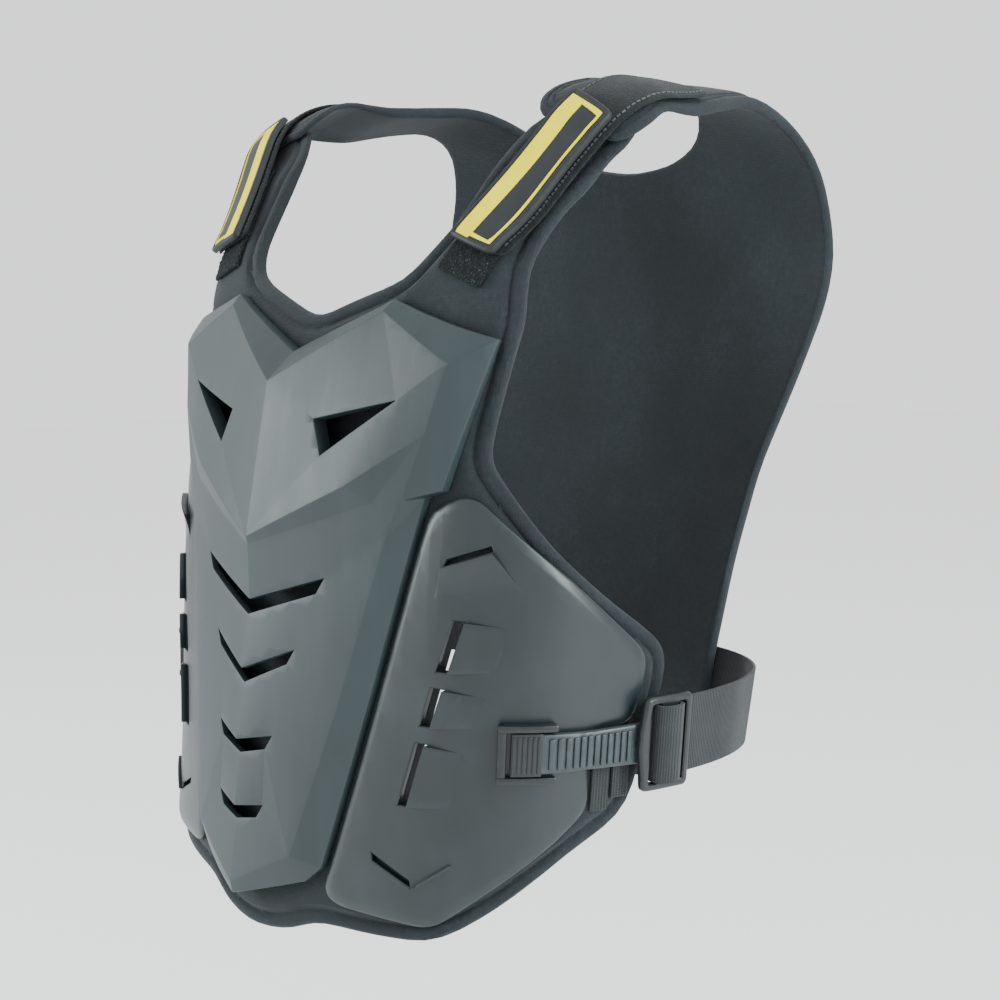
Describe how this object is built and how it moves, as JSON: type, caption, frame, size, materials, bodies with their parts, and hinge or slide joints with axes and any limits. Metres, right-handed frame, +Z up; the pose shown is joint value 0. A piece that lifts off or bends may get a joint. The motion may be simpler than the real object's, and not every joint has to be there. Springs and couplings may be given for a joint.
{
  "type": "chest protector",
  "caption": "Motocross chest and back protector: faceted hard shell and wing plates on foam panels, joined by shoulder tabs and elastic side straps.",
  "frame": {"origin": "midway between the two shoulder straps, level with the tops of the shoulders", "axes": "+Z up along the wearer's height, -Y towards the front, +X towards the wearer's left"},
  "size_m": [0.3716, 0.3023, 0.4406],
  "materials": {
    "foam": "matte knitted cloth over foam, charcoal",
    "plate": "satin, grey",
    "side_plate": "satin, dark grey",
    "ladder": "satin, grey",
    "buckle": "satin, near black",
    "webbing": "ribbed weave, dark grey",
    "hook": "fuzzy hook-and-loop, black",
    "rubber": "matte, grey, plain"
  },
  "bodies": {
    "root": {"front_foam": "foam", "chest_plate": "plate", "back_foam": "foam", "back_plate": "plate", "side_plate_left": "side_plate", "side_plate_right": "side_plate", "strap_catch_left": "buckle", "strap_catch_right": "buckle", "ladder_strap_left": "ladder", "ladder_strap_right": "ladder", "buckle_frame_left": "buckle", "buckle_frame_right": "buckle", "elastic_band_left": "webbing", "elastic_band_right": "webbing", "keeper_tape_front_left": "webbing", "keeper_tape_front_right": "webbing", "keeper_tape_rear_left": "webbing", "keeper_tape_rear_right": "webbing", "hook_pad_left": "hook", "hook_pad_right": "hook", "shoulder_tab_left": "webbing", "shoulder_tab_right": "webbing", "shoulder_badge_left": "rubber", "shoulder_badge_right": "rubber"}
  },
  "joints": []
}
